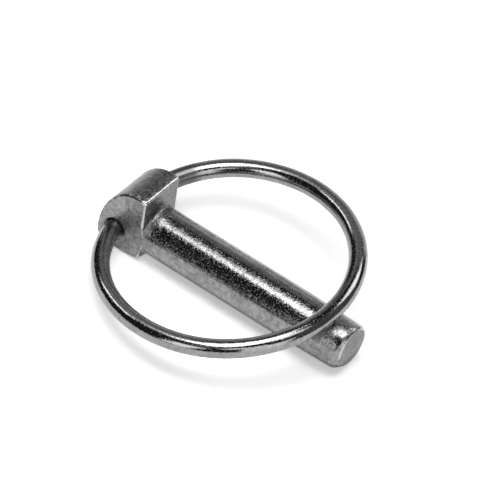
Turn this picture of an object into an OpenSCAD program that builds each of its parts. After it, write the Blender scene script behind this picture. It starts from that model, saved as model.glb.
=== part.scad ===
// Lynch pin: a forged steel pin with a blunt D-shaped head, and a sprung wire ring
// whose two ends hinge in offset sockets. Millimetres. X runs along the shank towards
// the tip, Z is up, and the origin is where the straight shank begins.

/* [Shank] */
// Diameter of the straight shank
shank_d = 10; // [6:0.5:16]
// Length from the head's shoulder to the tip
shank_len = 45.65; // [30:0.05:80]
// Distance from the shoulder at which the lead-in taper starts
taper_from = 33; // [20:0.5:60]
// Diameter at the tip end of the taper
tip_d = 9.42; // [5:0.02:15]
// Radius of the end face, inside its bevel
nose_r = 4; // [2:0.1:4.3]
// Shift of the end face off the axis, both upwards and towards the high side
nose_shift = 0.32; // [0:0.02:0.4]
// Length of the end bevel for each millimetre of its depth
nose_slope = 1.2; // [0.5:0.1:3]
// Radius of the fillet between shank and shoulder
root_fillet = 0.8; // [0.3:0.1:1.5]

/* [Head] */
// Width of the head across its flat sides
head_w = 10.5; // [8:0.1:16]
// Sideways shift of the head from the shank's axis, towards the high side
head_shift = 0.15; // [-0.3:0.05:0.3]
// Height of the head's flat top above the shank's axis
head_top = 9.9; // [7:0.1:16]
// Depth of the head's underside below the shank's axis, where it is flat
head_under = 5.05; // [4:0.05:9]
// Length of the head from the shoulder to its back
head_back = 10.08; // [7:0.02:16]
// Radius of the long arc down the back
back_r = 14; // [11:0.5:25]
// Height of that arc's centre above the shank's axis
back_z = -1.6; // [-3:0.1:3]
// Radius where the back rolls over into the top
crown_r = 6.5; // [3:0.1:9]
// Radius where the back turns under
heel_r = 2.4; // [1:0.1:5]
// Radius of the arc by which the underside rises to the front
toe_r = 14.2; // [9:0.1:30]
// Length over which it rises
toe_len = 4.5; // [0.5:0.1:6]
// Bevel along the head's side edges
side_bevel = 0.4; // [0.1:0.05:1]
// Bevel round the shoulder face
face_bevel = 0.35; // [0.1:0.05:1]

/* [Ring] */
// Diameter of the spring wire
wire_d = 3.6; // [2:0.1:6]
// Radius of the ring to the middle of the wire
ring_r = 24; // [15:0.5:40]
// Distance of the ring's centre from the shoulder
ring_x = 16.6; // [8:0.1:40]
// Height of the ring's centre above the shank's axis
ring_z = 4.15; // [2:0.05:12]
// Climb of the closed ring towards the tip, where it lies on the shank
ring_pitch = 6.15; // [0:0.05:15]
// Sideways lean of the closed ring
ring_roll = 5.2; // [-10:0.1:10]
// Step by which the wire's radius shrinks at each bend on the way to its ends
wire_step = 0.015; // [0.01:0.005:0.05]

/* [Sockets] */
// Distance of the sockets' line behind the shoulder
socket_x = 6.2; // [4:0.1:10]
// Height of the middle of that line above the shank's axis
socket_z = 0.5; // [-2:0.1:4]
// Slope of the line, from the lower socket on one side to the higher one on the other
socket_slope = 9.5; // [0:0.5:15]
// Depth of each blind socket
socket_depth = 3.2; // [2:0.1:4.5]
// Running clearance round the wire, on the radius
socket_gap = 0.08; // [0.02:0.01:0.1]
// Radius of the countersunk mouth
mouth_r = 2.5; // [2:0.1:3]

/* [Wire ends] */
// Angle from the head at which the plain arc ends, on the low side
low_sweep = 90; // [60:1:110]
// Angle from the head at which the plain arc ends, on the high side
high_sweep = 60; // [40:1:110]
// Length of straight wire that shows outside each socket
neck = 0.3; // [0.1:0.05:0.8]
// Radius of the tight bend outside each socket
elbow_r = 4.2; // [3:0.1:6]

/* [Wear] */
// Radius of the ball-shaped dents near the tip
dent_r = 0.85; // [0.3:0.05:2]
// Depth of the deep dent
dent_depth = 0.4; // [0.1:0.05:0.6]
// Distance of the deep dent from the end face
dent_back = 1.35; // [0.5:0.05:6]
// Turn of the deep dent from the top, towards the low side
dent_turn = 43; // [0:1:90]

/* [Hidden] */
$fn = 96;
ease = 0.03;           // lets neighbouring arcs cross cleanly instead of only touching
spare = 1;             // length by which a cutting or trimming shape reaches past what it cuts
far = 30;              // half size of the sheets that trim the head
overlap = 0.15;        // length by which a stretch of wire runs into the next, thicker one
wire_sides = 32;
socket_end_gap = 0.3;  // left free between the wire's end and the bottom of its socket
root_sink = 0.2;       // depth by which the fillet's ring runs into the head
core_depth = 3;        // depth by which the shank's core runs into the head
core_step = 0.7;       // by which that core's radius is below the shank's
heading_steps = 12;    // rounds in which the elbow's end and the long bend's heading settle
shank_r = shank_d / 2;
core_r = shank_r - core_step;
tip_r = tip_d / 2;
half_w = head_w / 2;
wire_r = wire_d / 2;
seat_r = wire_r - 3 * wire_step;
bore_r = seat_r + socket_gap;
zinc = [0.62, 0.63, 0.65];
bright = [0.78, 0.79, 0.80];

// Head profile in the X-Z plane: the arcs are tangent to each other inside the long back arc.
back_c = [back_r - head_back, back_z];
crown_z = head_top - crown_r;
heel_z = heel_r - head_under;
crown_c = [back_c.x - sqrt(pow(back_r - crown_r, 2) - pow(crown_z - back_z, 2)), crown_z];
heel_c = [back_c.x - sqrt(pow(back_r - heel_r, 2) - pow(heel_z - back_z, 2)), heel_z];
toe_c = [-toe_len, toe_r - head_under];
toe_z = toe_c.y - sqrt(pow(toe_r, 2) - pow(toe_len, 2));

// Ring frame: along the closed ring towards the tip, across it, and square to it.
ring_c = [ring_x, 0, ring_z];
across = [-sin(ring_pitch) * sin(ring_roll), cos(ring_roll), cos(ring_pitch) * sin(ring_roll)];
along = [cos(ring_pitch), 0, sin(ring_pitch)];
square_to = cross(along, across);

// Socket line: a point on it and its direction, in the pin's frame.
line_c = [-socket_x, 0, socket_z];
line_dir = [0, cos(socket_slope), sin(socket_slope)];

// Where the socket line meets the head's side.
function socket_mouth(side) = line_c + line_dir * ((side * half_w + head_shift) / line_dir.y);
function unit(v) = v / norm(v);
function to_ring(v) = [v * along, v * across, v * square_to];
function turn(a, b) = acos(min(1, unit(a) * unit(b)));

// ---- pin ----

module pin_body() {
    color(zinc)
    translate([-root_fillet, 0, 0])
    difference() {
        union() {
            translate([0, head_shift, 0])
            head();
            root();
            shank();
        }
        socket(-1);
        socket(1);
        dents();
    }
}

// The head is cut from its side profile, its front outline and its plan, each with its own bevels.
module head() {
    intersection() {
        wheel(back_c, back_r);
        front_outline();
        plan_outline();
        side_outline();
        union() {
            wheel(crown_c, crown_r + ease);
            wheel(heel_c, heel_r + ease);
            wheel(toe_c, toe_r + ease);
            profile_core();
        }
    }
}

// A disc across the head, with the side bevels turned on both of its rims.
module wheel(c, r) {
    translate([c.x, 0, c.y])
    rotate([90, 0, 0])
    rotate_extrude()
    polygon([
        [0, -half_w - side_bevel],
        [r - 2 * side_bevel, -half_w - side_bevel],
        [r, -half_w + side_bevel],
        [r, half_w - side_bevel],
        [r - 2 * side_bevel, half_w + side_bevel],
        [0, half_w + side_bevel]
    ]);
}

// Everything in the side profile except the corners that the discs round off.
module profile_core() {
    crown_ray = far * unit(crown_c - back_c);
    heel_ray = far * unit(heel_c - back_c);
    translate([0, half_w + spare, 0])
    rotate([90, 0, 0])
    linear_extrude(head_w + 2 * spare)
    polygon([
        crown_c,
        [crown_c.x, far],
        [far, far],
        [far, toe_c.y],
        toe_c,
        [toe_c.x, -far],
        [heel_c.x, -far],
        heel_c,
        heel_c + heel_ray,
        crown_c + crown_ray
    ]);
}

// Head seen from the tip: flat sides, top and underside with bevelled corners.
module front_outline() {
    translate([-far, 0, 0])
    rotate([90, 0, 90])
    linear_extrude(2 * far)
    bevelled(-half_w, half_w, -head_under, head_top, side_bevel);
}

// Head seen from above: the shoulder face with its two upright bevels.
module plan_outline() {
    translate([0, 0, -far])
    linear_extrude(2 * far)
    polygon([
        [-far, -far],
        [-face_bevel, -far],
        [-face_bevel, -half_w],
        [0, face_bevel - half_w],
        [0, half_w - face_bevel],
        [-face_bevel, half_w],
        [-face_bevel, far],
        [-far, far]
    ]);
}

// Head seen from the side: the shoulder face and the bevels along its top and bottom edges.
module side_outline() {
    translate([0, far, 0])
    rotate([90, 0, 0])
    linear_extrude(2 * far)
    polygon([
        [-far, toe_z + face_bevel - far],
        [0, toe_z + face_bevel],
        [0, head_top - face_bevel],
        [-face_bevel, head_top],
        [-face_bevel, far],
        [-far, far]
    ]);
}

module bevelled(x0, x1, y0, y1, b) {
    polygon([
        [x0 + b, y0],
        [x1 - b, y0],
        [x1, y0 + b],
        [x1, y1 - b],
        [x1 - b, y1],
        [x0 + b, y1],
        [x0, y1 - b],
        [x0, y0 + b]
    ]);
}

// Fillet at the root of the shank, trimmed within the head's sides and sloped up to its underside.
module root() {
    slope = core_step / (root_fillet + root_sink);
    intersection() {
        rotate([0, 90, 0])
        rotate_extrude()
        difference() {
            translate([shank_r - spare, -root_sink])
            square([spare + root_fillet, root_sink + root_fillet]);
            translate([shank_r + root_fillet, root_fillet])
            circle(r = root_fillet);
        }
        translate([0, head_shift + half_w - face_bevel, 0])
        rotate([90, 0, 0])
        linear_extrude(head_w - 2 * face_bevel)
        polygon([
            [-spare, far],
            [-spare, (spare - root_sink) * slope - core_r],
            [root_fillet + spare, -shank_r - spare * slope],
            [root_fillet + spare, far]
        ]);
    }
}

// The full diameter starts at the fillet's end; the core inside the head and the fillet is thinner.
module shank() {
    intersection() {
        rotate([0, 90, 0])
        rotate_extrude()
        polygon([
            [0, -core_depth],
            [core_r, -core_depth],
            [core_r, root_fillet],
            [shank_r, root_fillet],
            [shank_r, taper_from],
            [tip_r, shank_len],
            [0, shank_len]
        ]);
        nose();
    }
}

// A long blunt cone about the end face's own centre, which cuts the bevel deeper on one side.
module nose() {
    translate([0, nose_shift, nose_shift])
    rotate([0, 90, 0])
    rotate_extrude()
    polygon([
        [0, -far],
        [shank_d, -far],
        [shank_d, shank_len - (shank_d - nose_r) * nose_slope],
        [nose_r, shank_len],
        [0, shank_len]
    ]);
}

// Blind socket with a countersunk mouth, on the low side (-1) or the high side (1).
module socket(side) {
    face = socket_mouth(side);
    mouth = mouth_r - bore_r;
    translate(face)
    rotate([-90 * side + socket_slope, 0, 0]) {
        translate([0, 0, -socket_depth])
        cylinder(r = bore_r, h = socket_depth + spare);
        translate([0, 0, -mouth])
        cylinder(r1 = bore_r, r2 = mouth_r + spare, h = mouth + spare);
    }
}

// Knocks just short of the end face: a deep one on the low side and a shallow one on top.
module dents() {
    dent(dent_back, dent_turn, dent_depth);
    dent(dent_back / 2, 0, dent_depth / 4);
}

module dent(back, around, deep) {
    rotate([around, 0, 0])
    translate([shank_len - back, 0, tip_r + dent_r - deep])
    sphere(r = dent_r);
}

// ---- ring ----

module spring_ring() {
    $fn = 72;
    color(bright)
    translate([-root_fillet, 0, 0])
    multmatrix(frame(ring_c, along, across)) {
        plain_arc();
        wire_end(-1, low_sweep);
        wire_end(1, high_sweep);
    }
}

// The plain stretch of the ring, from one end's bend round the tip to the other's.
module plain_arc() {
    rotate([0, 0, low_sweep - 180])
    rotate_extrude(angle = 360 - low_sweep - high_sweep)
    translate([ring_r, 0])
    circle(r = wire_r, $fn = wire_sides);
}

// One end of the wire: a seat in the socket, an elbow outside it and a long bend into the plain arc.
module wire_end(side, sweep) {
    out = to_ring(line_dir * side);
    elbow = to_ring(socket_mouth(side) - ring_c) + neck * out;
    last = [sin(sweep), side * cos(sweep), 0];
    goal = [-ring_r * cos(sweep), side * ring_r * sin(sweep), 0];
    mid = settled(out, elbow, out, goal, last, heading_steps);
    bend_start = elbow_end(elbow, out, mid);
    long_r = norm(goal - bend_start) / (2 * sin(turn(mid, last) / 2));
    seat(elbow, out);
    bend(elbow, out, mid, elbow_r, wire_r - 2 * wire_step);
    bend(bend_start, mid, last, long_r, wire_r - wire_step);
}

// Where the elbow ends when it leaves p along h0 and turns to h1.
function elbow_end(p, h0, h1) = p + elbow_r * tan(turn(h0, h1) / 2) * (h0 + h1);

// Heading at p of the one arc that runs from p to the goal and is there on the last heading.
function heading(p, goal, last) = let (chord = unit(goal - p)) 2 * (chord * last) * chord - last;

// Heading at the elbow's end, found by steps, as the elbow's end and the heading depend on each other.
function settled(mid, elbow, out, goal, last, steps) =
    steps == 0
        ? mid
        : settled(heading(elbow_end(elbow, out, mid), goal, last), elbow, out, goal, last, steps - 1);

// The straight end of the wire, from inside the socket to the elbow.
module seat(elbow, out) {
    whole = socket_depth - socket_end_gap + neck;
    side_dir = unit(cross(out, [0, 0, 1]));
    multmatrix(frame(elbow - whole * out, side_dir, cross(out, side_dir)))
    cylinder(r = seat_r, h = whole + overlap, $fn = wire_sides);
}

// A bend of the wire that leaves point p along h0 and turns to h1 about its own centre.
module bend(p, h0, h1, r, wire) {
    inwards = unit(h1 - (h1 * h0) * h0);
    multmatrix(frame(p + r * inwards, -inwards, h0))
    rotate_extrude(angle = turn(h0, h1) + overlap / r * 180 / PI)
    translate([r, 0])
    circle(r = wire, $fn = wire_sides);
}

function frame(o, x, y) = let (z = cross(x, y)) [
    [x.x, y.x, z.x, o.x],
    [x.y, y.y, z.y, o.y],
    [x.z, y.z, z.z, o.z],
    [0, 0, 0, 1]
];

pin_body();
spring_ring();
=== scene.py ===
"""Looks for the lynch pin: a satin zinc-plated pin and a bright sprung wire ring on a pale studio floor."""
import math
from types import SimpleNamespace

import bpy
import numpy as np
from mathutils import Matrix, Vector


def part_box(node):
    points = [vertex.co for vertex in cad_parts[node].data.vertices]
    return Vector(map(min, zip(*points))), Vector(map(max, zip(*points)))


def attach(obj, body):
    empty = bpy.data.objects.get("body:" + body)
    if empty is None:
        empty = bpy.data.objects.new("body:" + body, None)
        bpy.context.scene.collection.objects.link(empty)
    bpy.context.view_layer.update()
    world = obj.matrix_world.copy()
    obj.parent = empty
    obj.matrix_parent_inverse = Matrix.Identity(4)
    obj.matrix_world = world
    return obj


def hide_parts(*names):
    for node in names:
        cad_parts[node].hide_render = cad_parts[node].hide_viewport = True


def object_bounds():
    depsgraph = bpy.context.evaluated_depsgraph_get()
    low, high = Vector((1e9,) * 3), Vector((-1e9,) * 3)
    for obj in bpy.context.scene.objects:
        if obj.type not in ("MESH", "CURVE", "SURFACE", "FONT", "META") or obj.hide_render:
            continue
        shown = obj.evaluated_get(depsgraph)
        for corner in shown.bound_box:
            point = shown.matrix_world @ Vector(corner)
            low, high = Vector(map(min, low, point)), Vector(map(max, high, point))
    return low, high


MM = 0.001
SHIFT = np.array([0.8, 0.0, 0.0])       # mm: the frame's origin, measured from the shoulder face

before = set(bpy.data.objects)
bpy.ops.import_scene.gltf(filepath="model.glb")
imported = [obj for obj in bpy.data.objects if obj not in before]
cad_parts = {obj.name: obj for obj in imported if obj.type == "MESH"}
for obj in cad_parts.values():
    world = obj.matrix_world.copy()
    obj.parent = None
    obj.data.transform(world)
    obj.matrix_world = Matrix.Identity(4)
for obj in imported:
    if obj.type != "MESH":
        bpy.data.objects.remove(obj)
cad_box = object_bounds()

# ---- small helpers ----


def to_frame(p):
    """Points in mm from the shoulder face, turned into metres in the frame."""
    return (p - SHIFT) * MM


def from_frame(p):
    return np.array(p) / MM + SHIFT


def fade(value, none, full):
    """0 at none, 1 at full, straight in between and level beyond."""
    return np.clip((value - none) / (full - none), 0, 1)


def unit(v):
    return v / np.linalg.norm(v)


def grey(level):
    return (level, level, level, 1)


def new_object(name, data):
    made = bpy.data.objects.new(name, data)
    bpy.context.scene.collection.objects.link(made)
    return made


def direction(azimuth, elevation):
    """Unit vector towards a compass place: azimuth 0 is -Y, 90 is +X, as for the camera."""
    flat = math.cos(elevation)
    return Vector((math.sin(azimuth) * flat, -math.cos(azimuth) * flat, math.sin(elevation)))


# ---- camera: the picture is taken as 479 pixels wide and 500 high ----

AIM = Vector((15.29, 4.16, 2.56)) * MM
AZIMUTH = math.radians(30.68)
ELEVATION = math.radians(43.62)
ROLL = math.radians(9.44)
DISTANCE = 0.8409
LENS_MM = 338.2
SENSOR_MM = 36.0
CLIP_NEAR, CLIP_FAR = 0.01, 20.0


def make_camera():
    back = direction(AZIMUTH, ELEVATION)
    right = Vector((math.cos(AZIMUTH), math.sin(AZIMUTH), 0.0))
    right.rotate(Matrix.Rotation(ROLL, 3, back))
    up = back.cross(right)
    data = bpy.data.cameras.new("camera")
    data.sensor_fit = "HORIZONTAL"
    data.sensor_width = SENSOR_MM
    data.lens = LENS_MM
    data.clip_start = CLIP_NEAR
    data.clip_end = CLIP_FAR
    camera = new_object("camera", data)
    turn = Matrix((right, up, back)).transposed().to_4x4()
    camera.matrix_world = Matrix.Translation(AIM + back * DISTANCE) @ turn
    bpy.context.scene.camera = camera


make_camera()

# ---- sizes of the pin, in mm, with x measured from the shoulder face ----

SHANK_R = 5.0
SHANK_FROM = -3.0           # the shank starts inside the head
TAPER_FROM = 33.0
SHANK_LEN = 45.65
TIP_R = 4.71
NOSE_R = 4.0                # the end face, off centre by NOSE_SHIFT in y and z
NOSE_SHIFT = 0.32
NOSE_SLOPE = 1.2
NOSE_ROUND = 0.35
TIP_ROUND = 0.2

HEAD_HALF_W = 5.25
HEAD_SHIFT = 0.15
HEAD_TOP = 9.9
HEAD_UNDER = 5.05
HEAD_BACK = 10.08
BACK_R, BACK_Z = 14.0, -1.6
CROWN_R, HEEL_R, TOE_R = 6.5, 2.4, 14.2
TOE_LEN = 4.5
RIM_ROUND = 0.4
BROW_TILT = math.radians(22)
BROW_LEN = 0.45
BROW_ROUND = 0.15
HEAD_BLEND = 0.08           # fillet where the head meets the shank's root

ROOT_FILLET = 0.8
ROOT_INSET = 0.06           # the fillet springs from a slab that starts this far behind the shoulder face
ROOT_DEPTH = 1.5            # and ends this far behind it
ROOT_MARGIN = 0.1           # room round the fillet, and between it and the head's sides
CHIN_RISE = 0.7             # how far the cut below the root climbs on its way into the head
CHIN_SINK = 0.2             # how deep in the head it has climbed that far
NO_CUT = -9.0               # a field value that takes nothing away

WIRE_R = 1.8
SEAT_R = 1.755
SEAT_PLAY = 0.08
BORE_R = SEAT_R + SEAT_PLAY
SOCKET_DEPTH = 3.2
SOCKET_ROUND = 0.15
MOUTH_R = 2.5
MOUTH_LEAN = math.sqrt(0.5)     # the mouth is a cone at 45 degrees
SOCKET_LINE = np.array([-6.2, 0.0, 0.5])
SOCKET_SLOPE = math.radians(9.5)
SOCKET_DIR = np.array([0.0, math.cos(SOCKET_SLOPE), math.sin(SOCKET_SLOPE)])

DENT_R, DENT_ROUND = 0.85, 0.08
DEEP_DENT = (1.35, 43.0, 0.4)       # mm back from the end face, degrees from the top towards -Y, mm deep
SHALLOW_DENT = (0.68, 0.0, 0.14)    # likewise
NICK_R, NICK_ROUND = 0.45, 0.04
NICKS = np.array([(-4.0, -4.55, 9.78), (-2.24, -4.50, 10.23)])      # centres, above the head's left rim

CORNER_FACE = unit(np.array([0.446, -0.602, 0.662]))
CORNER_CUT = 0.54
CORNER_ROUND = 0.1
CORNER = np.array([0.0, HEAD_SHIFT - HEAD_HALF_W, HEAD_TOP]) - CORNER_CUT * CORNER_FACE


def inside_back(radius, z):
    """Centre, at height z, of an arc that touches the head's back arc from inside."""
    return np.array([BACK_C[0] - math.sqrt((BACK_R - radius) ** 2 - (z - BACK_Z) ** 2), z])


BACK_C = np.array([BACK_R - HEAD_BACK, BACK_Z])
CROWN_C = inside_back(CROWN_R, HEAD_TOP - CROWN_R)
HEEL_C = inside_back(HEEL_R, HEEL_R - HEAD_UNDER)
TOE_C = np.array([-TOE_LEN, TOE_R - HEAD_UNDER])


def socket_mouth(side):
    return SOCKET_LINE + SOCKET_DIR * ((side * HEAD_HALF_W + HEAD_SHIFT) / SOCKET_DIR[1])


def dent_centre(back, around, depth):
    angle = math.radians(around)
    out = np.array([0.0, -math.sin(angle), math.cos(angle)])
    return np.array([SHANK_LEN - back, 0, 0]) + out * (TIP_R + DENT_R - depth)


# ---- the pin's form as a distance field, so that every edge is rounded and every root filleted ----


def round_max(a, b, radius):
    """Intersection of two fields whose shared edge is rounded."""
    u, v = a + radius, b + radius
    return np.hypot(np.maximum(u, 0), np.maximum(v, 0)) - radius + np.minimum(np.maximum(u, v), 0)


def round_min(a, b, radius):
    """Union of two fields with a fillet in the corner between them."""
    return -round_max(-a, -b, radius)


def hollow(p, centre, radius):
    """Field that takes a ball out of the metal."""
    return radius - np.linalg.norm(p - centre, axis=1)


def in_wedge(p, a, b):
    """Whether 2D vectors p lie in the angle from direction a to direction b (under 180 degrees)."""
    det = a[0] * b[1] - a[1] * b[0]
    s = (p[:, 0] * b[1] - p[:, 1] * b[0]) / det
    t = (a[0] * p[:, 1] - a[1] * p[:, 0]) / det
    return (s > 0) & (t > 0)


def head_profile(x, z):
    """The head's side view: crown and heel roll off a long back arc, and the underside rises in front."""
    p = np.stack([x, z], 1)
    rise = np.hypot(x - TOE_C[0], z - TOE_C[1]) - TOE_R
    under = np.where(x > TOE_C[0], rise, -HEAD_UNDER - z)
    back = np.hypot(x - BACK_C[0], z - BACK_C[1]) - BACK_R
    field = np.maximum(np.maximum(z - HEAD_TOP, under), back)
    for centre, radius, upright in ((CROWN_C, CROWN_R, 1.0), (HEEL_C, HEEL_R, -1.0)):
        inside = in_wedge(p - centre, (0.0, upright), centre - BACK_C)
        field = np.where(inside, np.hypot(x - centre[0], z - centre[1]) - radius, field)
    brow = (x + BROW_LEN) * math.sin(BROW_TILT) + (z - HEAD_TOP) * math.cos(BROW_TILT)
    return round_max(x, round_max(field, brow, BROW_ROUND), BROW_ROUND)


def shank_field(p, r):
    """A straight shank that tapers near its tip and ends in an off-centre bevel round a flat face."""
    x = p[:, 0]
    slope = (SHANK_R - TIP_R) / (SHANK_LEN - TAPER_FROM)
    wall = r - (SHANK_R - slope * np.maximum(x - TAPER_FROM, 0))
    from_nose = np.hypot(p[:, 1] - NOSE_SHIFT, p[:, 2] - NOSE_SHIFT) - NOSE_R
    bevel = (from_nose * NOSE_SLOPE + x - SHANK_LEN) / math.hypot(1, NOSE_SLOPE)
    nose = round_max(bevel, x - SHANK_LEN, TIP_ROUND)
    return np.maximum(round_max(wall, nose, NOSE_ROUND), SHANK_FROM - x)


def rooted_shank(p, side):
    """The shank with the fillet at its root, which keeps inside the head's sides and is cut off below."""
    x, z = p[:, 0], p[:, 2]
    r = np.hypot(p[:, 1], z)
    slab = np.maximum(x + ROOT_INSET, -ROOT_DEPTH - x)
    root = round_min(slab, shank_field(p, r), ROOT_FILLET)
    root = np.maximum(root, r - SHANK_R - ROOT_FILLET - ROOT_MARGIN)
    slope = CHIN_RISE / (ROOT_FILLET + CHIN_SINK)
    chin = (-SHANK_R - z - (x - ROOT_FILLET) * slope) / math.hypot(1, slope)
    root = np.maximum(root, np.where(x < ROOT_FILLET, chin, NO_CUT))
    return np.maximum(root, side + ROOT_MARGIN)


def socket_field(p, side):
    """A blind bore with a cone at its mouth."""
    out = SOCKET_DIR * side
    q = p - socket_mouth(side)
    along = q @ out
    away = np.linalg.norm(q - along[:, None] * out, axis=1)
    bore = np.maximum(away - BORE_R, -along - SOCKET_DEPTH)
    cone = (away - MOUTH_R - along) * MOUTH_LEAN
    return np.minimum(bore, cone)


def pin_field(p):
    side = np.abs(p[:, 1] - HEAD_SHIFT) - HEAD_HALF_W
    head = round_max(head_profile(p[:, 0], p[:, 2]), side, RIM_ROUND)
    head = round_max(head, (p - CORNER) @ CORNER_FACE, CORNER_ROUND)
    field = round_min(head, rooted_shank(p, side), HEAD_BLEND)
    for s in (-1, 1):
        field = round_max(field, -socket_field(p, s), SOCKET_ROUND)
    for dent in (DEEP_DENT, SHALLOW_DENT):
        field = round_max(field, hollow(p, dent_centre(*dent), DENT_R), DENT_ROUND)
    for nick in NICKS:
        field = round_max(field, hollow(p, nick, NICK_R), NICK_ROUND)
    return field


# ---- where the pin is worn, and where highlights and shade are painted on it ----

GRADIENT_STEP, BEND_STEP = 0.01, 0.15        # mm
BEND_SHARP = (0.8, 2.8)             # bend per mm: not sharp, sharp
TIP_ZONE = 0.8 * SHANK_LEN
# a painted highlight on part of the end face's edge
TIP_HIGHLIGHT = 0.9
TIP_HIGHLIGHT_WIDTH = 0.35               # mm outside the end face
TIP_HIGHLIGHT_LOW = (-0.4, 0.6)          # z: where there is none, and where it is full, as in every pair below
TIP_HIGHLIGHT_HIGH = (4.4, 3.4)
# the head's front edges and the nick walls: rubbed bright, partly painted highlight lines and glints
FRONT_RUB_AND_HIGHLIGHT = (-0.9, -0.5)           # x on the head
CORNER_WEAR = (0.09, 0.03)          # mm from the cut
CORNER_ZONE_X, CORNER_ZONE_Z = -2.0, 0.8 * HEAD_TOP
NICK_RUB_AND_GLINT = (0.075, 0.025)          # mm from the nick's wall
# painted shade in the deep dent and the sockets, and a painted dark reflection along the head's side rims
DENT_SHADE = (0.195, 0.045)          # mm from the dent's wall
SOCKET_SHADE = (0.18, 0.03)          # mm from the socket's wall
SOCKET_SHADE_DEPTH = (0.0, 1.6)      # mm into the socket
RIM_FACING = 0.7                    # how far sideways the middle of a rim's rounding faces
RIM_DARK_LINE = (0.36, 0.16)             # off that facing
RIM_DARK_LINE_X = (-1.0, -1.4)
RIM_DARK_LINE_SHARE = 0.9


def gradient(field, p):
    g = np.empty_like(p)
    for k in range(3):
        d = np.zeros(3)
        d[k] = GRADIENT_STEP
        g[:, k] = (field(p + d) - field(p - d)) / (2 * GRADIENT_STEP)
    return g


def sharpness(p):
    """0 on flat and hollow places, 1 where the form turns sharply outwards."""
    bend = -6 * pin_field(p)
    for k in range(3):
        d = np.zeros(3)
        d[k] = BEND_STEP
        bend += pin_field(p + d) + pin_field(p - d)
    return fade(bend / BEND_STEP ** 2, *BEND_SHARP)


def tip_highlight(p):
    """A painted highlight on the end face's edge between two heights, also smoother there."""
    from_nose = np.hypot(p[:, 1] - NOSE_SHIFT, p[:, 2] - NOSE_SHIFT)
    height = fade(p[:, 2], *TIP_HIGHLIGHT_LOW) * fade(p[:, 2], *TIP_HIGHLIGHT_HIGH)
    return TIP_HIGHLIGHT * (from_nose < NOSE_R + TIP_HIGHLIGHT_WIDTH) * height


def rub_and_highlight(p):
    """Lighter and smoother: the front face's edges and the nick walls, rubbed and partly painted highlight
    lines and glints; the knocked corner; and part of the end's edge, a painted highlight.
    """
    x, z = p[:, 0], p[:, 2]
    rubbed_and_highlit = np.where(x > TIP_ZONE, tip_highlight(p), fade(x, *FRONT_RUB_AND_HIGHLIGHT))
    knocked = fade(np.abs((p - CORNER) @ CORNER_FACE), *CORNER_WEAR)
    knocked = knocked * (z > CORNER_ZONE_Z) * (x > CORNER_ZONE_X)
    brightened = np.maximum(rubbed_and_highlit * sharpness(p), knocked)
    for nick in NICKS:
        brightened = np.maximum(brightened, fade(np.abs(hollow(p, nick, NICK_R)), *NICK_RUB_AND_GLINT))
    return brightened


def painted_shade(p):
    """Painted shade: a dark line along the head's side rims that stands for a dark reflection, shade
    growing into the sockets, and shade all over the deep dent.
    """
    darkness = fade(np.abs(hollow(p, dent_centre(*DEEP_DENT), DENT_R)), *DENT_SHADE)
    for side in (-1, 1):
        depth = (p - socket_mouth(side)) @ SOCKET_DIR * -side
        near = fade(np.abs(socket_field(p, side)), *SOCKET_SHADE)
        darkness = np.maximum(darkness, fade(depth, *SOCKET_SHADE_DEPTH) * near)
    sideways = np.abs(gradient(pin_field, p)[:, 1])
    rim = fade(np.abs(sideways - RIM_FACING), *RIM_DARK_LINE) * fade(p[:, 0], *RIM_DARK_LINE_X)
    return np.maximum(darkness, RIM_DARK_LINE_SHARE * rim * sharpness(p))


# ---- the pin's mesh: the CAD solid remeshed finely, and moved onto that form ----

PIN_GRID = 0.18
FIRST_STEPS, LATER_STEPS = 4, 2
MOVE_LIMIT = 0.15           # mm per step
SLOPE_LIMIT = 0.05          # least squared slope that a step is worked out from
TINY = 1e-9
EASE_ROUNDS = 3
EASING = 0.6


def onto_surface(field, p, steps):
    for _ in range(steps):
        g = gradient(field, p)
        size = np.maximum((g * g).sum(1), SLOPE_LIMIT)
        move = (field(p) / size)[:, None] * g
        reach = np.linalg.norm(move, axis=1)
        move *= (np.minimum(reach, MOVE_LIMIT) / np.maximum(reach, TINY))[:, None]
        p = p - move
    return p


def edge_ends(mesh):
    edges = np.empty(len(mesh.edges) * 2, np.int64)
    mesh.edges.foreach_get("vertices", edges)
    return edges.reshape(-1, 2).T


def relaxed(p, a, b):
    """Each point at the mean of its neighbours, along edges from points a to points b."""
    total = np.zeros_like(p)
    for k in range(3):
        total[:, k] = np.bincount(a, p[b, k], len(p)) + np.bincount(b, p[a, k], len(p))
    return total / (np.bincount(a, minlength=len(p)) + np.bincount(b, minlength=len(p)))[:, None]


def settled(mesh):
    """The mesh's points moved onto the pin's surface and evened out, within the CAD box."""
    p = np.empty(len(mesh.vertices) * 3)
    mesh.vertices.foreach_get("co", p)
    p = onto_surface(pin_field, p.reshape(-1, 3), FIRST_STEPS)
    a, b = edge_ends(mesh)
    for _ in range(EASE_ROUNDS):
        p = onto_surface(pin_field, (1 - EASING) * p + EASING * relaxed(p, a, b), LATER_STEPS)
    p = onto_surface(pin_field, p, LATER_STEPS)
    return np.clip(p, *(from_frame(corner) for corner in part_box("pin_body")))


def remeshed(name, mesh, grid):
    """A new object with the mesh rebuilt on an even grid."""
    made = new_object(name, mesh)
    modifier = made.modifiers.new("remesh", "REMESH")
    modifier.mode = "VOXEL"
    modifier.voxel_size = grid
    graph = bpy.context.evaluated_depsgraph_get()
    fine = bpy.data.meshes.new_from_object(made.evaluated_get(graph))
    made.modifiers.clear()
    made.data = fine
    return made


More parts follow.
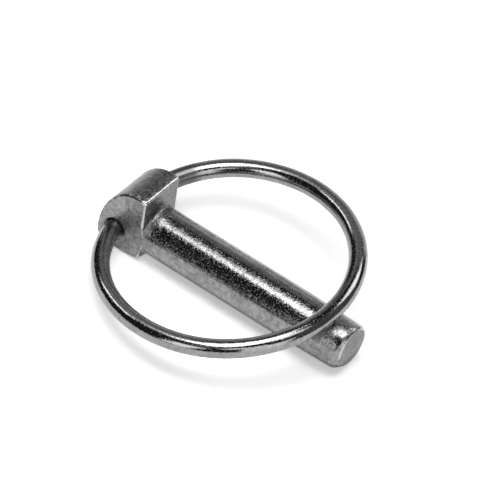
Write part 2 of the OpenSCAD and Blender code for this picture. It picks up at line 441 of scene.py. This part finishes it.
def make_pin():
    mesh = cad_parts["pin_body"].data.copy()
    mesh.transform(Matrix.Scale(1 / MM, 4))
    mesh.transform(Matrix.Translation(Vector(SHIFT)))
    pin = remeshed("pin_forging", mesh, PIN_GRID)
    mesh = pin.data
    p = settled(mesh)
    # masks of rubbed edges with painted highlights, and of painted shade in hollows and along the rims
    for name, values in (("rub_and_highlight", rub_and_highlight(p)), ("painted_shade", painted_shade(p))):
        mesh.attributes.new(name, "FLOAT", "POINT").data.foreach_set("value", values)
    mesh.vertices.foreach_set("co", to_frame(p).ravel())
    mesh.update()
    mesh.shade_smooth()
    return pin


# ---- the ring: one wire swept along the line that its bends follow ----

RING_R = 24.0
RING_C = np.array([16.6, 0.0, 4.15])
RING_PITCH = math.radians(6.15)
RING_ROLL = math.radians(5.2)
LOW_SWEEP, HIGH_SWEEP = math.radians(90), math.radians(60)
NECK = 0.3
ELBOW_R = 4.2
SEAT_END_GAP = 0.3
SEAT_LEN = SOCKET_DEPTH - SEAT_END_GAP
SWELL_LEN = 6.0             # over which the wire grows from its seat's radius to its own
WIRE_END_ROUND = 0.35
HEADING_ROUNDS = 12
WIRE_STEP = 0.35
WIRE_SIDES = 64
SHADE_LOW = (2.6, 1.0)       # mm out of the low socket: where the painted shade ends, and up to where it is full
SHADE_HIGH = (11.2, 9.4)
ALONG = np.array([math.cos(RING_PITCH), 0.0, math.sin(RING_PITCH)])
ACROSS = np.array([
    -math.sin(RING_PITCH) * math.sin(RING_ROLL),
    math.cos(RING_ROLL),
    math.cos(RING_PITCH) * math.sin(RING_ROLL),
])
RING_AXES = np.stack([ALONG, ACROSS, np.cross(ALONG, ACROSS)])


def turn_between(a, b):
    return math.acos(min(1.0, float(unit(a) @ unit(b))))


def bend_points(start, h0, h1, radius):
    """Points along an arc that leaves start along h0 and turns to h1, without the first."""
    inwards = unit(h1 - (h1 @ h0) * h0)
    angle = turn_between(h0, h1)
    count = max(2, int(radius * angle / WIRE_STEP))
    centre = start + radius * inwards
    t = np.linspace(0, angle, count + 1)[1:, None]
    return centre - radius * inwards * np.cos(t) + radius * h0 * np.sin(t)


def wire_end_points(side, sweep):
    """Centre line of one wire end in the ring's own axes, from inside the socket to the plain arc."""
    out = RING_AXES @ (SOCKET_DIR * side)
    elbow = RING_AXES @ (socket_mouth(side) - RING_C) + NECK * out
    last = np.array([math.sin(sweep), side * math.cos(sweep), 0.0])
    goal = RING_R * np.array([-math.cos(sweep), side * math.sin(sweep), 0.0])
    mid = out
    for _ in range(HEADING_ROUNDS):
        start = elbow + ELBOW_R * math.tan(turn_between(out, mid) / 2) * (out + mid)
        chord = unit(goal - start)
        mid = 2 * (chord @ last) * chord - last
    long_r = np.linalg.norm(goal - start) / (2 * math.sin(turn_between(mid, last) / 2))
    whole = SEAT_LEN + NECK
    seat = elbow - out * np.linspace(whole, 0, int(whole / WIRE_STEP) + 2)[:, None]
    elbow_bend = bend_points(elbow, out, mid, ELBOW_R)
    return np.vstack([seat, elbow_bend, bend_points(start, mid, last, long_r)])


def wire_path():
    low = wire_end_points(-1, LOW_SWEEP)
    high = wire_end_points(1, HIGH_SWEEP)
    sweep = 2 * math.pi - LOW_SWEEP - HIGH_SWEEP
    count = int(RING_R * sweep / WIRE_STEP)
    t = LOW_SWEEP - math.pi + np.linspace(0, sweep, count + 1)[1:-1]
    arc = np.stack([RING_R * np.cos(t), RING_R * np.sin(t), 0 * t], 1)
    path = np.vstack([low, arc, high[::-1]])
    return path @ RING_AXES + RING_C


def wire_axes(path):
    """Two directions square to the wire at each of its points, carried along it without a twist."""
    tangent = np.gradient(path, axis=0)
    tangent /= np.linalg.norm(tangent, axis=1)[:, None]
    side = np.empty_like(path)
    side[0] = unit(np.cross(tangent[0], RING_AXES[2]))
    for i in range(1, len(path)):
        side[i] = unit(side[i - 1] - (side[i - 1] @ tangent[i]) * tangent[i])
    return side, np.cross(tangent, side)


def wire_radius(from_end):
    """Thinner in the sockets, rounded off at the very ends."""
    radius = SEAT_R + (WIRE_R - SEAT_R) * fade(from_end, SEAT_LEN, SEAT_LEN + SWELL_LEN)
    inset = fade(from_end, WIRE_END_ROUND, 0)
    return radius - WIRE_END_ROUND * (1 - np.sqrt(1 - inset ** 2))


def wire_points(path, from_end):
    """Loops of points round the wire, then the middle of each end."""
    side, over = wire_axes(path)
    around = np.linspace(0, 2 * math.pi, WIRE_SIDES, endpoint=False)[None, :, None]
    out = np.cos(around) * side[:, None, :] + np.sin(around) * over[:, None, :]
    loops = path[:, None, :] + wire_radius(from_end)[:, None, None] * out
    skin = np.clip(to_frame(loops.reshape(-1, 3)), *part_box("spring_ring"))
    return np.vstack([skin, to_frame(path[[0, -1]])])


def wire_faces(count):
    """Quads between loops of points, then a fan of triangles round the middle of each end."""
    faces = []
    for i in range(count - 1):
        a, b = i * WIRE_SIDES, (i + 1) * WIRE_SIDES
        for j in range(WIRE_SIDES):
            k = (j + 1) % WIRE_SIDES
            faces.append((a + j, a + k, b + k, b + j))
    last, middle = (count - 1) * WIRE_SIDES, count * WIRE_SIDES
    for j in range(WIRE_SIDES):
        k = (j + 1) % WIRE_SIDES
        faces.append((middle, k, j))
        faces.append((middle + 1, last + j, last + k))
    return faces


def lay_out(mesh, length):
    """UV: how far along the wire and how far round it, both from 0 to 1."""
    index = np.empty(len(mesh.loops), np.int64)
    mesh.loops.foreach_get("vertex_index", index)
    uv = np.empty((len(mesh.loops), 2))
    uv[:, 0] = length[np.minimum(index // WIRE_SIDES, len(length) - 1)] / length[-1]
    uv[:, 1] = index % WIRE_SIDES / WIRE_SIDES
    quads = uv[: (len(length) - 1) * WIRE_SIDES * 4].reshape(-1, 4, 2)
    around = quads[..., 1]
    around += (around == 0) & (around.max(1) > 0.5)[:, None]      # a quad that closes the loop runs up to 1
    mesh.uv_layers.new(name="along_around").data.foreach_set("uv", uv.ravel())


def hinge_shade(length):
    """Painted shade on the wire: 1 where it leaves its sockets, and at the middle of each end."""
    low = fade(length, *(SEAT_LEN + reach for reach in SHADE_LOW))
    high = fade(length[-1] - length, *(SEAT_LEN + reach for reach in SHADE_HIGH))
    return np.concatenate([np.repeat(np.maximum(low, high), WIRE_SIDES), [1.0, 1.0]])


def make_ring():
    path = wire_path()
    length = np.concatenate([[0], np.cumsum(np.linalg.norm(np.diff(path, axis=0), axis=1))])
    from_end = np.minimum(length, length[-1] - length)
    mesh = bpy.data.meshes.new("ring_wire")
    mesh.from_pydata(wire_points(path, from_end).tolist(), [], wire_faces(len(path)))
    lay_out(mesh, length)
    # painted shade where the wire leaves the sockets
    mesh.attributes.new("hinge_shade", "FLOAT", "POINT").data.foreach_set("value", hinge_shade(length))
    mesh.validate()
    mesh.shade_smooth()
    return new_object("ring_wire", mesh)


# ---- materials ----

MIX_FACTOR, MIX_A, MIX_B, MIX_COLOUR = 0, 6, 7, 2       # sockets of a colour mix


class Nodes:
    """Adds shader nodes and links them. A value may be a number, a colour or another node's socket."""

    def __init__(self, material):
        material.use_nodes = True
        self.tree = material.node_tree
        self.shader = self.tree.nodes["Principled BSDF"]

    def feed(self, socket, value):
        if isinstance(value, bpy.types.NodeSocket):
            self.tree.links.new(value, socket)
        else:
            socket.default_value = value

    def surface(self, name, value):
        self.feed(self.shader.inputs[name], value)

    def add(self, kind, inputs=None, **settings):
        node = self.tree.nodes.new(kind)
        for key, value in settings.items():
            setattr(node, key, value)
        for key, value in (inputs or {}).items():
            self.feed(node.inputs[key], value)
        return node

    def attribute(self, name):
        return self.add("ShaderNodeAttribute", attribute_name=name).outputs["Fac"]

    def split(self, vector):
        return self.add("ShaderNodeSeparateXYZ", {"Vector": vector}).outputs

    def math(self, operation, a, b=0.0):
        return self.add("ShaderNodeMath", {0: a, 1: b}, operation=operation).outputs["Value"]

    def ramp(self, source, span, levels):
        """Maps the source's span onto the two levels, and holds them beyond it."""
        ends = dict(zip(("From Min", "From Max", "To Min", "To Max"), (*span, *levels)))
        return self.add("ShaderNodeMapRange", {"Value": source, **ends}).outputs["Result"]

    def blend(self, factor, a, b):
        inputs = {MIX_FACTOR: factor, MIX_A: a, MIX_B: b}
        return self.add("ShaderNodeMix", inputs, data_type="RGBA").outputs[MIX_COLOUR]

    def noise(self, place, scale, detail, roughness):
        inputs = {"Vector": place, "Scale": scale, "Detail": detail, "Roughness": roughness}
        return self.add("ShaderNodeTexNoise", inputs).outputs["Fac"]

    def bump(self, height, distance):
        node = self.add("ShaderNodeBump", {"Height": height, "Strength": 1.0, "Distance": distance})
        self.surface("Normal", node.outputs["Normal"])


# noises: scale per metre, detail, roughness
PIN_CLOUD = (260.0, 3.0, 0.5)
PIN_GRAIN = (3000.0, 2.0, 0.6)
PIN_FORGED = (1300.0, 3.0, 0.6)
WIRE_CLOUD = (300.0, 3.0, 0.5)
WIRE_GRAIN = (3600.0, 2.0, 0.6)
WIRE_SPECK = (1500.0, 3.0, 0.7)
WIRE_SCRATCH = (1.0, 2.0, 0.5)      # not per metre: the two values below set its size
SCRATCH_ALONG, SCRATCH_ROUND = 40.0, 12.0

# greys of the metal, of its rubbed edges and painted highlights, and of its painted shade and darker places
PIN_DARK, PIN_LIGHT, PIN_RUBBED_HIGHLIGHT = 0.17, 0.42, 0.60
# painted shade on the pin's front face, underside and hollows and on the wire near the sockets; the pin's
# darker grey also covers its end face and a band across its top
PIN_DARKENED, HOLLOW_SHADE_GREY = 0.08, 0.03
WIRE_DARK, WIRE_LIGHT, WIRE_SHADE_GREY = 0.22, 0.42, 0.15

# bumps: depth in metres, and how strong forging and scratches are next to the grain
PIN_BUMP, WIRE_BUMP = 0.03 * MM, 0.015 * MM
FORGED_BUMP, SCRATCH_BUMP = 4.0, 0.3

# maps: a span of the source, and what its two ends become
ALL, MOST = (0.0, 1.0), (0.3, 0.7)
CLOUD_RAGS = MOST, (-1.5 * MM, 1.5 * MM)
CLOUD_SHADE = MOST, (0.0, 0.35)
CLOUD_DARKENING = (0.35, 0.65), (0.3, 0.8)
FORGED_SHADE = (0.34, 0.66), (0.0, 0.65)
FORGED_FROST = (0.35, 0.6), (0.4, 1.0)
SHADE_MOTTLE = (0.53, 0.60), (1.0, 0.15)
GRAIN_PITS = (0.4, 0.6), (-0.55, 0.25)
GRAIN_FROST = (0.50, 0.62), ALL
EDGE_RUBBING = ALL, (1.0, 0.2)
PIN_ROUGHNESS = ALL, (0.10, 0.35)
WIRE_CLOUD_SHADE = MOST, (0.0, 0.4)
WIRE_SPECK_SHADE = MOST, (0.0, 0.6)
WIRE_FROST = (0.52, 0.66), ALL
WIRE_ROUGHNESS = ALL, (0.08, 0.30)

# maps of places on the pin, in the frame: x, then how far the surface faces up, then z
HEAD_SKIN = (0.0, 2.5 * MM), (1.0, 0.0)
TIP_SKIN = (37.0 * MM, 40.0 * MM), (0.0, 0.7)
# painted shade on the head's front face
FRONT_SHADE_IN = (-1.2 * MM, -0.8 * MM), (0.0, 0.7)
FRONT_SHADE_OUT = (-0.8 * MM, -0.4 * MM), (1.0, 0.0)
# a darker end face
END_DARKENING = (44.7 * MM, 44.8 * MM), ALL
TOP_BAND_IN = (-5.6 * MM, -4.6 * MM), (0.0, 0.35)
TOP_BAND_OUT = (-2.8 * MM, -1.8 * MM), (1.0, 0.3)
FACING_UP = MOST, ALL
# painted shade on the shank's underside
SHADE_BELOW = (-2.4 * MM, -1.0 * MM), (0.8, 0.0)


def pin_zones(n):
    """What the pin's colour and finish share: places, rubbed edges with painted highlights, painted shade,
    noises, and where the skin is rough.
    """
    s = SimpleNamespace()
    coordinates = n.add("ShaderNodeTexCoord").outputs
    place = coordinates["Object"]
    s.at = n.split(place)
    s.edge = n.attribute("rub_and_highlight")
    s.hole = n.attribute("painted_shade")
    s.cloud = n.noise(place, *PIN_CLOUD)
    s.grain = n.noise(place, *PIN_GRAIN)
    s.forged = n.noise(place, *PIN_FORGED)
    s.ragged_x = n.math("ADD", s.at["X"], n.ramp(s.cloud, *CLOUD_RAGS))
    s.head = n.ramp(s.ragged_x, *HEAD_SKIN)
    s.skin = n.math("MAXIMUM", s.head, n.ramp(s.ragged_x, *TIP_SKIN))
    s.pitted = n.math("MULTIPLY", s.head, n.ramp(n.split(coordinates["Normal"])["Z"], *FACING_UP))
    return s


def pin_shade_and_darkening(n, s):
    """Darker places: painted shade on the head's front face and below the shank, a darker end face and a
    darker band across the head's top.
    """
    x = s.at["X"]
    # painted shade on the head's front face
    front = n.math("MULTIPLY", n.ramp(x, *FRONT_SHADE_IN), n.ramp(x, *FRONT_SHADE_OUT))
    faces = n.math("MAXIMUM", n.ramp(x, *END_DARKENING), front)
    faces = n.math("MULTIPLY", faces, n.ramp(s.cloud, *CLOUD_DARKENING))
    # a darker band across the head's top
    top_band = n.math("MULTIPLY", n.ramp(s.ragged_x, *TOP_BAND_IN), n.ramp(s.ragged_x, *TOP_BAND_OUT))
    top_band = n.math("MULTIPLY", top_band, s.pitted)
    # painted shade on the shank's underside
    off_head = n.math("SUBTRACT", 1.0, s.head)
    below = n.math("MULTIPLY", off_head, n.ramp(s.at["Z"], *SHADE_BELOW))
    return n.math("MAXIMUM", n.math("MAXIMUM", faces, top_band), below)


def pin_colour(n, s):
    """Cloudy grey with dark pits in the head's top, then painted shade and darker places, rubbed edges with
    painted highlights, and painted shade in the recesses over it.
    """
    shade = n.math("ADD", n.ramp(s.cloud, *CLOUD_SHADE), n.ramp(s.forged, *FORGED_SHADE))
    pits = n.math("MULTIPLY", s.pitted, n.ramp(s.grain, *GRAIN_PITS))
    dull = n.blend(n.math("ADD", shade, pits), grey(PIN_DARK), grey(PIN_LIGHT))
    # painted shade and darker places over the cloudy grey
    darkened = n.blend(pin_shade_and_darkening(n, s), dull, grey(PIN_DARKENED))
    # rubbed edges, partly painted highlights and glints
    rubbed_and_highlit = n.blend(s.edge, darkened, grey(PIN_RUBBED_HIGHLIGHT))
    # painted shade, mottled, in the dent, the sockets and along the head's side rims
    shade_share = n.math("MULTIPLY", s.hole, n.ramp(s.forged, *SHADE_MOTTLE))
    return n.blend(shade_share, rubbed_and_highlit, grey(HOLLOW_SHADE_GREY))


def pin_steel():
    """Dull zinc: polished and frosted grains mixed, coarser on the forged head, edges rubbed bright and
    partly painted with highlights.
    """
    material = bpy.data.materials.new("pin_steel")
    n = Nodes(material)
    s = pin_zones(n)
    n.surface("Metallic", 1.0)
    n.surface("Base Color", pin_colour(n, s))
    unrubbed = n.ramp(s.edge, *EDGE_RUBBING)
    frost = n.math("MULTIPLY", s.skin, n.ramp(s.forged, *FORGED_FROST))
    frost = n.math("ADD", n.ramp(s.grain, *GRAIN_FROST), frost)
    n.surface("Roughness", n.ramp(n.math("MULTIPLY", frost, unrubbed), *PIN_ROUGHNESS))
    coarse = n.math("MULTIPLY", n.math("MULTIPLY", s.skin, unrubbed), FORGED_BUMP)
    n.bump(n.math("ADD", s.grain, n.math("MULTIPLY", coarse, s.forged)), PIN_BUMP)
    return material


def drawn_scratches(n):
    """Noise stretched along the wire, and wrapped round it without a seam."""
    along_around = n.split(n.add("ShaderNodeUVMap", uv_map="along_around").outputs["UV"])
    turn = n.math("MULTIPLY", along_around["Y"], 2 * math.pi)
    place = n.add("ShaderNodeCombineXYZ", {
        "X": n.math("MULTIPLY", along_around["X"], SCRATCH_ALONG),
        "Y": n.math("MULTIPLY", n.math("COSINE", turn), SCRATCH_ROUND),
        "Z": n.math("MULTIPLY", n.math("SINE", turn), SCRATCH_ROUND),
    })
    return n.noise(place.outputs["Vector"], *WIRE_SCRATCH)


def ring_wire():
    """Bright drawn wire: a light speckle from plating, fine scratches along it, painted shade and a rougher
    finish where it leaves the sockets.
    """
    material = bpy.data.materials.new("ring_wire")
    n = Nodes(material)
    place = n.add("ShaderNodeTexCoord").outputs["Object"]
    shaded_ends = n.attribute("hinge_shade")
    cloud = n.noise(place, *WIRE_CLOUD)
    grain = n.noise(place, *WIRE_GRAIN)
    speck = n.noise(place, *WIRE_SPECK)
    n.surface("Metallic", 1.0)
    shade = n.math("ADD", n.ramp(cloud, *WIRE_CLOUD_SHADE), n.ramp(speck, *WIRE_SPECK_SHADE))
    clean = n.blend(shade, grey(WIRE_DARK), grey(WIRE_LIGHT))
    # painted shade where the wire leaves the sockets
    n.surface("Base Color", n.blend(shaded_ends, clean, grey(WIRE_SHADE_GREY)))
    frost = n.math("ADD", n.ramp(grain, *WIRE_FROST), shaded_ends)
    n.surface("Roughness", n.ramp(frost, *WIRE_ROUGHNESS))
    scratches = n.math("MULTIPLY", drawn_scratches(n), SCRATCH_BUMP)
    n.bump(n.math("ADD", grain, scratches), WIRE_BUMP)
    return material


def dress(piece, node, body, material):
    piece.data.materials.clear()
    piece.data.materials.append(material)
    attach(piece, body)
    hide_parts(node)


dress(make_pin(), "pin_body", "pin", pin_steel())
dress(make_ring(), "spring_ring", "ring", ring_wire())

# ---- studio: sizes and distances in metres ----

FLOOR_SIZE = 4.0
FLOOR_GAP = 0.01 * MM
FLOOR_WHITE = 0.95
FLOOR_ROUGHNESS = 0.9
SEEN_GLOW = 0.35        # lifts the floor towards white in the picture, where 1 is white
REFLECTED_GLOW = 0.2    # the same in what the metal mirrors
SKY = 0.02
CENTRE = Vector((0.018, 0.0, 0.0))


def floor_white():
    material = bpy.data.materials.new("floor_white")
    n = Nodes(material)
    n.surface("Base Color", grey(FLOOR_WHITE))
    n.surface("Roughness", FLOOR_ROUGHNESS)
    n.surface("Specular IOR Level", 0.0)
    ray = n.add("ShaderNodeLightPath").outputs
    reflected = n.math("MAXIMUM", ray["Is Glossy Ray"], ray["Is Transmission Ray"])
    reflected = n.math("MULTIPLY", reflected, REFLECTED_GLOW)
    seen = n.math("MULTIPLY", ray["Is Camera Ray"], SEEN_GLOW)
    n.surface("Emission Color", grey(1))
    n.surface("Emission Strength", n.math("MAXIMUM", seen, reflected))
    return material


def make_floor():
    z = cad_box[0][2] - FLOOR_GAP
    h = FLOOR_SIZE / 2
    mesh = bpy.data.meshes.new("floor")
    mesh.from_pydata([(-h, -h, z), (h, -h, z), (h, h, z), (-h, h, z)], [], [(0, 1, 2, 3)])
    mesh.materials.append(floor_white())
    new_object("floor", mesh)


def make_sky():
    world = bpy.data.worlds.new("studio")
    bpy.context.scene.world = world
    world.use_nodes = True
    sky = world.node_tree.nodes["Background"]
    sky.inputs["Color"].default_value = grey(SKY)
    sky.inputs["Strength"].default_value = 1.0


def lamp(name, azimuth, elevation, distance, width, height, radiance, spin=0.0):
    """Area light that faces the object, with angles in degrees. Radiance 1 is white on a mirror."""
    data = bpy.data.lights.new(name, "AREA")
    data.shape = "RECTANGLE"
    data.size = width
    data.size_y = height
    data.energy = radiance * math.pi * width * height
    light = new_object(name, data)
    back = direction(math.radians(azimuth), math.radians(elevation))
    light.location = CENTRE + back * distance
    light.rotation_euler = back.to_track_quat("Z", "Y").to_euler()
    if spin:
        light.rotation_euler.rotate(Matrix.Rotation(math.radians(spin), 3, back))


def make_lamps():
    lamp("overhead", -25, 84, 0.6, 0.38, 0.38, 5.0)
    lamp("overhead_left", -86, 61, 0.6, 0.18, 0.15, 1.1)
    lamp("overhead_right", 90, 66, 0.6, 0.18, 0.18, 2.2)
    lamp("left_high", -110, 47, 0.8, 0.36, 0.30, 0.32)
    lamp("left_small", -86, 39, 0.7, 0.30, 0.13, 3.0, 40)
    lamp("front", -2, 20, 0.7, 0.27, 0.40, 2.1, -12)
    lamp("front_high", 14, 52, 0.7, 0.32, 0.15, 0.30)
    lamp("right_strip", 62, 12, 0.7, 0.46, 0.56, 1.5)
    lamp("right_upper", 42, 39, 0.7, 0.36, 0.13, 2.0)
    lamp("back_right", 161, 43, 0.7, 0.28, 0.30, 2.8)
    lamp("back_left_low", -155, 10, 0.8, 1.1, 0.42, 0.68)
    lamp("back_left_high", -152, 37, 0.8, 0.6, 0.32, 0.24)
    lamp("side_fill", 120, 30, 0.8, 0.8, 0.8, 0.10)


make_floor()
make_lamps()
make_sky()
bpy.context.scene.view_settings.view_transform = "Standard"
